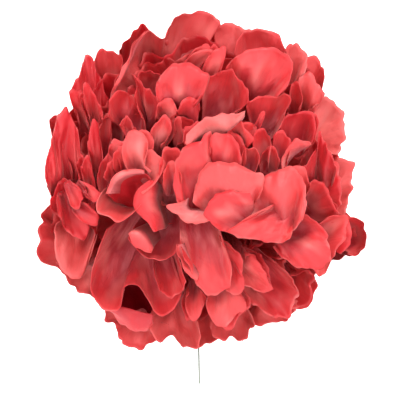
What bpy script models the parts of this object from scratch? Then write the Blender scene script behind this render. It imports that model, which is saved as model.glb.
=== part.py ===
"""Fabric peony hair clip: a layered petal head on a moulded peg, glued with its
felt disc to a single prong alligator clip.

Frame: metres, +Z up, the flower faces -Y, +X to the right of the flower.
The origin is the middle of the clip's grip, on the hair side of the fixed arm.
"""
import bpy
import bmesh
import math
from mathutils import Matrix, Vector

MM = 0.001

# ---------------------------------------------------------------- dimensions
HEAD_R = 65.5 * MM            # radius of the open flower head
HEAD_SQUASH_Z = 1.015         # the head is a little taller than wide
RIM_BACK_Y = -21.0 * MM       # depth of the outermost petal rims
DOME_DEPTH = 57.0 * MM        # from the outermost rims to the front of the dome
PETAL_T = 0.8 * MM            # fabric layer, with its stiffening size
HUB_HOLE_R = 2.6 * MM         # punched hole in every petal layer
HUB_FIRST_Y = -12.0 * MM
HUB_PITCH = 1.7 * MM
COLLAR_PITCH = 1.9 * MM       # added where a collar sits between two layers
LAYERS = 11
COLLAR_AFTER = (2, 5, 8)      # collars sit in front of these layers
BUD_SHIFT = (12.0 * MM, -6.5 * MM)   # the bud leans to the right and down
RUFFLE = 2.2 * MM

PEG_R = 2.1 * MM
PEG_BACK_Y = -9.6 * MM
COLLAR_R = 4.2 * MM
CAP_R = 3.4 * MM
CALYX_HOLE_R = 2.45 * MM

FELT_R = 16.0 * MM
FELT_BACK_Y = -1.1 * MM
FELT_FRONT_Y = -3.1 * MM
GLUE_R = 13.0 * MM
GLUE_BACK_Y = -3.4 * MM
GLUE_FRONT_Y = -6.4 * MM

WIRE_R = 0.35 * MM
WIRE_RUN_Y = -5.2 * MM
WIRE_END = (-1.05 * MM, -84.0 * MM)

STEEL_T = 0.8 * MM
ARM_HALF_W = 4.5 * MM
ARM_TIP_X = -27.5 * MM
LEVER_X = 20.0 * MM
LEVER_END_X = 38.0 * MM
LEVER_SLOPE = math.tan(math.radians(20.0))
PIVOT = Vector((17.0 * MM, 2.5 * MM, 0.0))
PIN_R = 0.9 * MM
PIN_HOLE_R = 1.08 * MM
JAW_Y = 5.0 * MM              # inner face of the bowed jaw
SPRING_MEAN_R = 1.75 * MM
SPRING_WIRE_R = 0.3 * MM

# ---------------------------------------------------------------- start clean
for ob in list(bpy.data.objects):
    bpy.data.objects.remove(ob, do_unlink=True)

part_col = bpy.data.collections.new("flower_hair_clip")
cut_col = bpy.data.collections.new("cutters")
bpy.context.scene.collection.children.link(part_col)
bpy.context.scene.collection.children.link(cut_col)


def material(name, rgb, rough, metal=0.0):
    m = bpy.data.materials.new(name)
    m.use_nodes = True
    b = m.node_tree.nodes["Principled BSDF"]
    b.inputs["Base Color"].default_value = (rgb[0], rgb[1], rgb[2], 1.0)
    b.inputs["Roughness"].default_value = rough
    b.inputs["Metallic"].default_value = metal
    m.diffuse_color = (rgb[0], rgb[1], rgb[2], 1.0)
    return m


def add(name, me, mat, col=None):
    ob = bpy.data.objects.new(name, me)
    (col or part_col).objects.link(ob)
    if mat is not None:
        me.materials.clear()
        me.materials.append(mat)
    return ob


def mesh_from(bm, name, smooth=None):
    bmesh.ops.recalc_face_normals(bm, faces=bm.faces[:])
    me = bpy.data.meshes.new(name)
    bm.to_mesh(me)
    bm.free()
    if smooth is not None:
        me.shade_smooth()
        me.set_sharp_from_angle(angle=math.radians(smooth))
    return me


def baked(ob):
    """The object's mesh after its modifiers, in its own space."""
    dg = bpy.context.evaluated_depsgraph_get()
    return bpy.data.meshes.new_from_object(ob.evaluated_get(dg))


def cutter(name, me, loc=(0, 0, 0), rot=None):
    ob = add(name, me, None, cut_col)
    ob.location = loc
    if rot is not None:
        ob.rotation_euler = rot
    ob.hide_render = True
    ob.display_type = "WIRE"
    return ob


def cylinder(r, depth, seg=24, r2=None):
    bm = bmesh.new()
    bmesh.ops.create_cone(bm, cap_ends=True, segments=seg, radius1=r,
                          radius2=r if r2 is None else r2, depth=depth)
    return bm


def boolean(ob, other, op):
    m = ob.modifiers.new(op.lower(), "BOOLEAN")
    m.operation = op
    m.solver = "EXACT"
    m.object = other
    return m


def apply_all(ob):
    me = baked(ob)
    mats = [s.material for s in ob.material_slots]
    ob.modifiers.clear()
    old = ob.data
    ob.data = me
    me.materials.clear()
    for mt in mats:
        me.materials.append(mt)
    bpy.data.meshes.remove(old)


def smoothstep(a, b, x):
    t = max(0.0, min(1.0, (x - a) / (b - a)))
    return t * t * (3.0 - 2.0 * t)


# ---------------------------------------------------------------- materials
M_PETAL = [material("petal_fabric_%02d" % (i + 1),
                    (0.66 - 0.02 * i, 0.085 - 0.004 * i, 0.085 - 0.003 * i), 0.75)
           for i in range(LAYERS)]
M_BUD = material("bud_foam", (0.55, 0.06, 0.07), 0.8)
M_PLASTIC = material("green_plastic", (0.10, 0.20, 0.06), 0.5)
M_COLLAR = material("collar_plastic", (0.75, 0.78, 0.70), 0.5)
M_FELT = material("red_felt", (0.30, 0.02, 0.03), 0.95)
M_GLUE = material("hot_melt_glue", (0.80, 0.76, 0.64), 0.35)
M_WIRE = material("stem_wire_paint", (0.33, 0.38, 0.32), 0.45)
M_STEEL = material("nickel_plated_steel", (0.62, 0.61, 0.60), 0.28, 1.0)
M_SPRING = material("spring_steel", (0.50, 0.50, 0.52), 0.3, 1.0)


# ---------------------------------------------------------------- petal layers
def hub_y(i):
    extra = sum(1 for c in COLLAR_AFTER if c < i)
    return HUB_FIRST_Y - HUB_PITCH * i - COLLAR_PITCH * extra


def warp(p):
    """One warp of space for the whole head, so the nested layers stay nested:
    a soft ruffle that grows towards the rim, and the lean of the bud."""
    x, y, z = p
    r = math.hypot(x, z)
    a = math.atan2(z, x)
    k = (r / HEAD_R) ** 2
    y += RUFFLE * k * (math.sin(5 * a + 0.6) + 0.6 * math.sin(9 * a + 2.0))
    s = smoothstep(-36.0 * MM, -76.0 * MM, y)
    return Vector((x + BUD_SHIFT[0] * s, y, (z * HEAD_SQUASH_Z) + BUD_SHIFT[1] * s))


def petal_layer(i):
    phi = math.radians(2.0 + 76.0 * i / (LAYERS - 1))
    rim_r = HEAD_R * math.cos(phi)
    rim_y = RIM_BACK_Y - DOME_DEPTH * math.sin(phi)
    h = hub_y(i)
    petals = 8 if i < 4 else (6 if i < 8 else 5)
    steps = petals * (5 if i < 4 else 4)
    rings = 5
    bm = bmesh.new()
    prof = [bm.verts.new(((j + 1.0), 0.0, 0.0)) for j in range(rings + 1)]
    edges = [bm.edges.new((prof[j], prof[j + 1])) for j in range(rings)]
    bmesh.ops.spin(bm, geom=prof + edges, cent=(0, 0, 0), axis=(0, -1, 0),
                   dvec=(0, 0, 0), angle=math.tau, steps=steps, use_merge=True)
    bmesh.ops.remove_doubles(bm, verts=bm.verts[:], dist=1e-4)
    t0 = math.asin(HUB_HOLE_R / rim_r)
    for v in bm.verts:
        j = v.co.length - 1.0
        a = math.atan2(v.co.z, v.co.x)
        lobe = abs(math.cos(petals * 0.5 * (a + 0.37 * i)))
        tip = math.radians(62.0 + 22.0 * lobe ** 0.7)
        if i == 0:
            tip += math.radians(4.0)
        t = t0 + (tip - t0) * (j / rings)
        r = rim_r * math.sin(t)
        y = h + (rim_y - h) * (1.0 - math.cos(t)) / (1.0 - math.cos(math.radians(84.0)))
        v.co = warp((r * math.cos(a), y, r * math.sin(a)))
    for f in bm.faces:
        f.normal_update()
    me = mesh_from(bm, "petals", smooth=60)
    ob = add("petal_layer_%02d" % (i + 1), me, M_PETAL[i])
    m = ob.modifiers.new("thickness", "SOLIDIFY")
    m.thickness = PETAL_T
    m.offset = 0.0
    m.use_even_offset = False
    return ob


for i in range(LAYERS):
    petal_layer(i)

# the rolled bud core, a soft ball that closes the middle of the head
bm = bmesh.new()
bmesh.ops.create_uvsphere(bm, u_segments=20, v_segments=12, radius=1.0)
bud_y = -55.0 * MM
for v in bm.verts:
    c = v.co.copy()
    v.co = warp((c.x * 6.4 * MM, bud_y + c.y * 13.0 * MM, c.z * 6.4 * MM))
add("bud_core", mesh_from(bm, "bud", smooth=60), M_BUD)

# ---------------------------------------------------------------- peg, collars
def turned(name, pts, seg, mat, smooth=35):
    """A solid of revolution about the Y axis; pts are (r, y), front to back,
    closed on the axis or as a ring, made with a Screw modifier about Z."""
    me = bpy.data.meshes.new(name)
    bm = bmesh.new()
    vs = [bm.verts.new((r, 0.0, y)) for r, y in pts]
    for a, b in zip(vs, vs[1:]):
        bm.edges.new((a, b))
    if pts[0][0] > 1e-9:
        bm.edges.new((vs[-1], vs[0]))
    bm.to_mesh(me)
    bm.free()
    ob = add(name, me, mat)
    m = ob.modifiers.new("turn", "SCREW")
    m.axis = "Z"
    m.angle = math.tau
    m.steps = seg
    m.render_steps = seg
    m.screw_offset = 0.0
    m.use_merge_vertices = True
    m.merge_threshold = 0.00001
    m.use_normal_calculate = True
    apply_all(ob)
    b2 = bmesh.new()
    b2.from_mesh(ob.data)
    bmesh.ops.remove_doubles(b2, verts=b2.verts[:], dist=1e-6)
    bmesh.ops.recalc_face_normals(b2, faces=b2.faces[:])
    # the turning axis goes from Z to Y
    bmesh.ops.transform(b2, matrix=Matrix.Rotation(math.radians(-90.0), 4, "X"), verts=b2.verts[:])
    b2.to_mesh(ob.data)
    b2.free()
    ob.data.shade_smooth()
    ob.data.set_sharp_from_angle(angle=math.radians(smooth))
    return ob



def layer_rise(i, r):
    """How far layer i has curved forwards at radius r from its hub."""
    phi = math.radians(2.0 + 76.0 * i / (LAYERS - 1))
    deep = (hub_y(i) - RIM_BACK_Y + DOME_DEPTH * math.sin(phi)) / (1.0 - math.cos(math.radians(84.0)))
    return deep * (1.0 - math.cos(math.asin(r / (HEAD_R * math.cos(phi)))))


last = hub_y(LAYERS - 1)
cap_back = last - 1.3 * MM - layer_rise(LAYERS - 1, CAP_R)
peg_front = cap_back - 1.6 * MM
turned("core_peg", [
    (0.0, PEG_BACK_Y), (PEG_R, PEG_BACK_Y), (PEG_R, cap_back + 0.35 * MM),
    (1.5 * MM, cap_back + 0.15 * MM), (1.5 * MM, peg_front), (0.0, peg_front)], 20, M_PLASTIC)
turned("peg_cap", [
    (1.85 * MM, cap_back), (CAP_R, cap_back), (CAP_R - 0.3 * MM, cap_back - 1.2 * MM),
    (2.6 * MM, peg_front - 0.2 * MM), (1.85 * MM, peg_front - 0.2 * MM)], 20, M_COLLAR)
for n, c in enumerate(COLLAR_AFTER):
    back = hub_y(c) - PETAL_T * 0.5 - 0.4 * MM - layer_rise(c, COLLAR_R)
    front = hub_y(c + 1) + PETAL_T * 0.5 + 0.35 * MM
    turned("layer_collar_%d" % (n + 1), [
        (PEG_R + 0.35 * MM, back), (COLLAR_R, back), (COLLAR_R, front),
        (PEG_R + 0.35 * MM, front)], 20, M_COLLAR)

# ---------------------------------------------------------------- calyx
cal = turned("calyx", [
    (CALYX_HOLE_R, -6.7 * MM), (3.9 * MM, -6.7 * MM), (4.4 * MM, -7.6 * MM),
    (8.5 * MM, -8.6 * MM), (13.0 * MM, -9.3 * MM), (18.0 * MM, -9.7 * MM),
    (18.2 * MM, -10.2 * MM), (13.0 * MM, -10.4 * MM), (8.0 * MM, -10.6 * MM),
    (CALYX_HOLE_R, -10.8 * MM)], 40, M_PLASTIC)
for v in cal.data.vertices:
    r = math.hypot(v.co.x, v.co.z)
    if r > 5.0 * MM:
        a = math.atan2(v.co.z, v.co.x)
        lobe = abs(math.cos(2.5 * (a + 0.3)))
        k = smoothstep(5.0 * MM, 18.0 * MM, r)
        s = 1.0 - 0.52 * k * (1.0 - lobe ** 0.8)
        v.co.x *= s
        v.co.z *= s

# ---------------------------------------------------------------- felt and glue
for nm, r, y0, y1, mat in (("felt_disc", FELT_R, FELT_BACK_Y, FELT_FRONT_Y, M_FELT),
                           ("glue_pad", GLUE_R, GLUE_BACK_Y, GLUE_FRONT_Y, M_GLUE)):
    bm = cylinder(r, abs(y1 - y0), seg=36)
    bmesh.ops.transform(bm, matrix=Matrix.Translation((0, (y0 + y1) / 2, 0)) @
                        Matrix.Rotation(math.radians(90), 4, "X"), verts=bm.verts[:])
    ob = add(nm, mesh_from(bm, nm, smooth=40), mat)
    bv = ob.modifiers.new("soft_edge", "BEVEL")
    bv.width = 0.45 * MM
    bv.segments = 2
    bv.limit_method = "ANGLE"
    apply_all(ob)
glue = bpy.data.objects["glue_pad"]
bm = bmesh.new()
bmesh.ops.create_cube(bm, size=1.0)
for v in bm.verts:
    v.co = Vector((v.co.x * 1.9 * MM, v.co.y * 8.0 * MM - 5.0 * MM,
                   v.co.z * 15.4 * MM - 6.4 * MM))
groove = cutter("wire_groove", mesh_from(bm, "wire_groove"))
boolean(glue, groove, "DIFFERENCE")
apply_all(glue)

# ---------------------------------------------------------------- stem wire
def wire_points():
    pts = []
    bend = 3.0 * MM
    y_start = -8.9 * MM
    pts.append((0.0, y_start, 0.0))
    for k in range(0, 7):
        a = math.radians(90.0 * k / 6.0)
        pts.append((0.0, WIRE_RUN_Y - bend + bend * math.sin(a), -bend + bend * math.cos(a)))
    z0 = -bend
    n = 12
    for k in range(1, n + 1):
        t = k / n
        x = WIRE_END[0] * t - 0.85 * MM * math.sin(math.pi * t)
        z = z0 + (WIRE_END[1] - z0) * t
        y = WIRE_RUN_Y - 0.9 * MM * smoothstep(0.2, 1.0, t)
        pts.append((x, y, z))
    return pts


def tube(name, pts, r, mat, res=2, cyclic=False):
    cu = bpy.data.curves.new(name, "CURVE")
    cu.dimensions = "3D"
    cu.bevel_depth = r
    cu.bevel_resolution = res
    cu.use_fill_caps = True
    cu.resolution_u = 1
    cu.render_resolution_u = 0
    sp = cu.splines.new("POLY")
    sp.points.add(len(pts) - 1)
    for q, p in zip(sp.points, pts):
        q.co = (p[0], p[1], p[2], 1.0)
    ob = bpy.data.objects.new(name, cu)
    part_col.objects.link(ob)
    cu.materials.append(mat)
    me = baked(ob)
    bpy.data.objects.remove(ob, do_unlink=True)
    b = bmesh.new()
    b.from_mesh(me)
    bmesh.ops.remove_doubles(b, verts=b.verts[:], dist=1e-6)
    bmesh.ops.recalc_face_normals(b, faces=b.faces[:])
    b.to_mesh(me)
    b.free()
    me.shade_smooth()
    me.set_sharp_from_angle(angle=math.radians(50))
    return add(name, me, mat)


tube("stem_wire", wire_points(), WIRE_R, M_WIRE)


# ---------------------------------------------------------------- clip
def strip(name, stations, thickness, mat):
    """A bent steel strip: (x, y, half width) stations, extruded across Z."""
    bm = bmesh.new()
    rows = []
    for x, y, w in stations:
        rows.append([bm.verts.new((x, y, -w)), bm.verts.new((x, y, w))])
    for a, b in zip(rows, rows[1:]):
        bm.faces.new((a[0], a[1], b[1], b[0]))
    bmesh.ops.recalc_face_normals(bm, faces=bm.faces[:])
    bm.faces.ensure_lookup_table()
    if bm.faces[0].normal.y < 0:
        bmesh.ops.reverse_faces(bm, faces=bm.faces[:])
    me = bpy.data.meshes.new(name)
    bm.to_mesh(me)
    bm.free()
    ob = add(name, me, mat)
    m = ob.modifiers.new("steel", "SOLIDIFY")
    m.thickness = abs(thickness)
    m.offset = 1.0 if thickness > 0 else -1.0
    m.use_even_offset = True
    apply_all(ob)
    return ob


def tip_rounding(x0, x1, n, w, reverse=False):
    """Half widths that round a strip's end between x0 (the end) and x1."""
    out = []
    for k in range(n + 1):
        t = k / n
        x = x0 + (x1 - x0) * t
        out.append((x, max(0.35, math.sqrt(1.0 - (1.0 - t) ** 2)) * w))
    return out


def ear(name, radius, z0, z1, y_base, x_half, y_side):
    """A hinge ear: a round tab about the pivot, joined to its strip at y_base."""
    bm = cylinder(radius, abs(z1 - z0), seg=28)
    bmesh.ops.transform(bm, matrix=Matrix.Translation((PIVOT.x, PIVOT.y, (z0 + z1) / 2)),
                        verts=bm.verts[:])
    disc = cutter(name + "_round", mesh_from(bm, name + "_round"))
    bm = bmesh.new()
    bmesh.ops.create_cube(bm, size=1.0)
    lo, hi = sorted((y_base, y_side))
    for v in bm.verts:
        v.co = Vector((PIVOT.x + v.co.x * 2 * x_half, (lo + hi) / 2 + v.co.y * (hi - lo),
                       (z0 + z1) / 2 + v.co.z * abs(z1 - z0)))
    tab = cutter(name + "_tab", mesh_from(bm, name + "_tab"))
    return disc, tab


# the fixed arm, flat against the felt, with its thumb lever bent forwards
arm_st = [(x, 0.0, w) for x, w in tip_rounding(ARM_TIP_X, ARM_TIP_X + 4.0 * MM, 5, ARM_HALF_W)]
arm_st += [(LEVER_X, 0.0, ARM_HALF_W)]
lever_len = LEVER_END_X - LEVER_X
for x, w in reversed(tip_rounding(LEVER_END_X, LEVER_END_X - 4.0 * MM, 5, ARM_HALF_W)):
    arm_st.append((x, -(x - LEVER_X) * LEVER_SLOPE, w))
arm = strip("clip_arm", arm_st, -STEEL_T, M_STEEL)
for sgn in (-1, 1):
    d, t = ear("arm_ear_%s" % ("a" if sgn < 0 else "b"), 2.1 * MM + 0.4 * MM, sgn * 3.7 * MM,
               sgn * 4.5 * MM, -0.4 * MM, 2.5 * MM, PIVOT.y)
    boolean(arm, d, "UNION")
    apply_all(arm)
    boolean(arm, t, "UNION")
    apply_all(arm)

# the sprung jaw, bowed to leave room for a lock of hair
jaw_st = []
for x, w in tip_rounding(-27.0 * MM, -23.0 * MM, 5, 4.2 * MM):
    jaw_st.append((x, 1.45 * MM, w))
jaw_st += [(-20.0 * MM, 1.7 * MM, 4.35 * MM), (-18.0 * MM, 2.6 * MM, 4.5 * MM),
           (-16.2 * MM, 4.0 * MM, 4.5 * MM), (-14.4 * MM, JAW_Y, 4.5 * MM),
           (11.6 * MM, JAW_Y, 4.5 * MM), (12.6 * MM, JAW_Y, 3.4 * MM),
           (LEVER_X + 1.0 * MM, JAW_Y, 3.4 * MM),
           (LEVER_X + 2.4 * MM, JAW_Y + 1.4 * MM * LEVER_SLOPE, 4.5 * MM)]
for x, w in reversed(tip_rounding(LEVER_END_X, LEVER_END_X - 4.0 * MM, 5, ARM_HALF_W)):
    jaw_st.append((x, JAW_Y + (x - LEVER_X - 1.0 * MM) * LEVER_SLOPE, w))
jaw = strip("clip_jaw", jaw_st, STEEL_T, M_STEEL)
for sgn in (-1, 1):
    d, t = ear("jaw_ear_%s" % ("a" if sgn < 0 else "b"), 2.1 * MM, sgn * 2.6 * MM,
               sgn * 3.4 * MM, JAW_Y + 0.4 * MM, 2.1 * MM, PIVOT.y)
    boolean(jaw, d, "UNION")
    apply_all(jaw)
    boolean(jaw, t, "UNION")
    apply_all(jaw)
# the jaw's teeth: ridges across the front of the jaw
for n in range(4):
    bm = bmesh.new()
    x = (-25.6 + 1.5 * n) * MM
    half = (2.9 + 0.3 * n) * MM
    bmesh.ops.create_cone(bm, cap_ends=True, segments=3, radius1=0.72 * MM,
                          radius2=0.72 * MM, depth=2 * half)
    bmesh.ops.transform(bm, matrix=Matrix.Translation((x, (1.28 + 0.06 * n) * MM, 0)) @
                        Matrix.Rotation(math.radians(180.0), 4, "Z"), verts=bm.verts[:])
    c = cutter("tooth_%d" % (n + 1), mesh_from(bm, "tooth_%d" % (n + 1)))
    boolean(jaw, c, "UNION")
    apply_all(jaw)
# pin holes
bm = cylinder(PIN_HOLE_R, 14.0 * MM, seg=28)
bmesh.ops.transform(bm, matrix=Matrix.Translation(PIVOT), verts=bm.verts[:])
hole = cutter("pin_hole", mesh_from(bm, "pin_hole"))
for ob in (arm, jaw):
    boolean(ob, hole, "DIFFERENCE")
    apply_all(ob)

# the hinge pin, with its two riveted heads outside the ears
bm = cylinder(PIN_R, 10.4 * MM, seg=28)
bmesh.ops.transform(bm, matrix=Matrix.Translation(PIVOT), verts=bm.verts[:])
pin = add("hinge_pin", mesh_from(bm, "hinge_pin", smooth=40), M_STEEL)
for sgn in (-1, 1):
    bm = cylinder(1.6 * MM, 0.7 * MM, seg=28)
    bmesh.ops.transform(bm, matrix=Matrix.Translation(PIVOT + Vector((0, 0, sgn * 5.15 * MM))),
                        verts=bm.verts[:])
    c = cutter("pin_head_%s" % ("a" if sgn < 0 else "b"), mesh_from(bm, "pin_head"))
    boolean(pin, c, "UNION")
    apply_all(pin)

# the torsion spring, wound on the pin with a leg against each lever
def spring_points():
    pts = []
    pitch = 0.82 * MM
    turns = 3.0
    # the legs end at the levers, clear of them by 0.3 mm
    lx = 30.0 * MM
    y_arm = -(lx - LEVER_X) * LEVER_SLOPE + SPRING_WIRE_R / math.cos(math.radians(20)) + 0.33 * MM
    y_jaw = JAW_Y + (lx - LEVER_X - 1.0 * MM) * LEVER_SLOPE - SPRING_WIRE_R / math.cos(math.radians(20)) - 0.33 * MM
    z0 = -pitch * turns / 2.0
    z1 = pitch * turns / 2.0
    a0 = math.radians(-90.0)          # the first leg leaves the coil's arm side
    total = turns * math.tau + math.radians(180.0)
    pts.append((lx, y_arm, z0))
    pts.append((PIVOT.x + 5.2 * MM, PIVOT.y - SPRING_MEAN_R - 0.05 * MM, z0))
    n = 44
    for k in range(n + 1):
        t = k / n
        a = a0 - total * t
        pts.append((PIVOT.x + SPRING_MEAN_R * math.cos(a), PIVOT.y + SPRING_MEAN_R * math.sin(a),
                    z0 + (z1 - z0) * t))
    pts.append((PIVOT.x + 5.2 * MM, PIVOT.y + SPRING_MEAN_R + 0.05 * MM, z1))
    pts.append((lx, y_jaw, z1))
    return pts


tube("torsion_spring", spring_points(), SPRING_WIRE_R, M_SPRING)

# the jaw turns about the hinge pin
jaw.data.transform(Matrix.Translation(-PIVOT))
jaw.location = PIVOT
for ob in (arm, jaw):
    ob.data.shade_smooth()
    ob.data.set_sharp_from_angle(angle=math.radians(30))
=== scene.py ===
"""Looks of the peony hair clip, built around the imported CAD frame."""
import bpy
import bmesh
import math
import numpy as np
from mathutils import Vector, Matrix


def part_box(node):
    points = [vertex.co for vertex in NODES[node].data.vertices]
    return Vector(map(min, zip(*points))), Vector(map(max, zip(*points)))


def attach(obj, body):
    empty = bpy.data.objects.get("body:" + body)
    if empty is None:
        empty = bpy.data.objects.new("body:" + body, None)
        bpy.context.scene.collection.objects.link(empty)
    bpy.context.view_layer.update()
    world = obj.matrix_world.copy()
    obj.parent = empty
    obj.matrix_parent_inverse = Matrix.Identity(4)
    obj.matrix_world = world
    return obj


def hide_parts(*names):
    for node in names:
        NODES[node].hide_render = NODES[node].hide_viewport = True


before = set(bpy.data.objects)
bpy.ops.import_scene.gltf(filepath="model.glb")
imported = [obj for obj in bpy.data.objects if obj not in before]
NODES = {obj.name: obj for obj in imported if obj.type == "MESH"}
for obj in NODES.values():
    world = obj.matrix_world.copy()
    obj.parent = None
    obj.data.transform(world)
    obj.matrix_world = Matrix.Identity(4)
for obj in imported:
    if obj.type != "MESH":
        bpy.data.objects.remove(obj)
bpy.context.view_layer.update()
MM = 0.001

# ------------------------------------------------------------------ camera
CAM = np.array([-0.0008, -0.900, -0.0080])   # the eye, straight in front of the flower
REF_Y = -0.035                               # plane where one plan unit is 0.4 mm
UNIT = 0.0004

cam_data = bpy.data.cameras.new("camera")
cam_data.sensor_width = 36.0
cam_data.lens = 36.0 * (REF_Y - CAM[1]) / (400 * UNIT)
cam_data.clip_start = 0.01
cam_data.clip_end = 20.0
cam = bpy.data.objects.new("camera", cam_data)
bpy.context.scene.collection.objects.link(cam)
cam.location = Vector(CAM)
cam.rotation_euler = (math.radians(90.0), 0.0, 0.0)
bpy.context.scene.camera = cam


def at(u, v, y):
    """Plan position (u right, v down, 0.4 mm units, as the eye sees it) at
    depth y in mm, to world metres."""
    u = np.asarray(u, float); v = np.asarray(v, float); y = np.asarray(y, float) * MM
    k = UNIT * (y - CAM[1]) / (REF_Y - CAM[1])
    return np.stack([CAM[0] + (u - 200.0) * k, y, CAM[2] + (200.0 - v) * k], -1)


# ------------------------------------------------------------------ node helpers
def new_mat(name):
    m = bpy.data.materials.new(name)
    m.use_nodes = True
    nt = m.node_tree
    for n in list(nt.nodes):
        nt.nodes.remove(n)
    out = nt.nodes.new("ShaderNodeOutputMaterial")
    b = nt.nodes.new("ShaderNodeBsdfPrincipled")
    nt.links.new(b.outputs[0], out.inputs[0])
    return m, nt, b, out


def node(nt, kind, **kw):
    n = nt.nodes.new(kind)
    for k, v in kw.items():
        if k == "ins":
            for i, val in v.items():
                n.inputs[i].default_value = val
        else:
            setattr(n, k, v)
    return n


def link(nt, a, b):
    nt.links.new(a, b)


def math_node(nt, op, a, b=None, clamp=False):
    n = nt.nodes.new("ShaderNodeMath")
    n.operation = op
    n.use_clamp = clamp
    for i, x in enumerate((a, b)):
        if x is None:
            continue
        if isinstance(x, (int, float)):
            n.inputs[i].default_value = x
        else:
            nt.links.new(x, n.inputs[i])
    return n.outputs[0]


def mix_rgb(nt, fac, a, b, blend="MIX"):
    n = nt.nodes.new("ShaderNodeMix")
    n.data_type = "RGBA"
    n.blend_type = blend
    n.clamp_result = False
    for sock, x in ((n.inputs[0], fac), (n.inputs[6], a), (n.inputs[7], b)):
        if isinstance(x, (int, float)):
            sock.default_value = x
        elif isinstance(x, tuple):
            sock.default_value = (x[0], x[1], x[2], 1.0)
        else:
            nt.links.new(x, sock)
    return n.outputs[2]


def ramp(nt, fac, stops):
    n = nt.nodes.new("ShaderNodeValToRGB")
    el = n.color_ramp.elements
    while len(el) < len(stops):
        el.new(0.5)
    for e, (p, c) in zip(el, stops):
        e.position = p
        e.color = (c[0], c[1], c[2], 1.0) if isinstance(c, tuple) else (c, c, c, 1.0)
    if fac is not None:
        nt.links.new(fac, n.inputs[0])
    return n.outputs[0]


def lin(r, g, b):
    def f(c):
        c = c / 255.0
        return c / 12.92 if c <= 0.04045 else ((c + 0.055) / 1.055) ** 2.4
    return (f(r), f(g), f(b))


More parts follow.
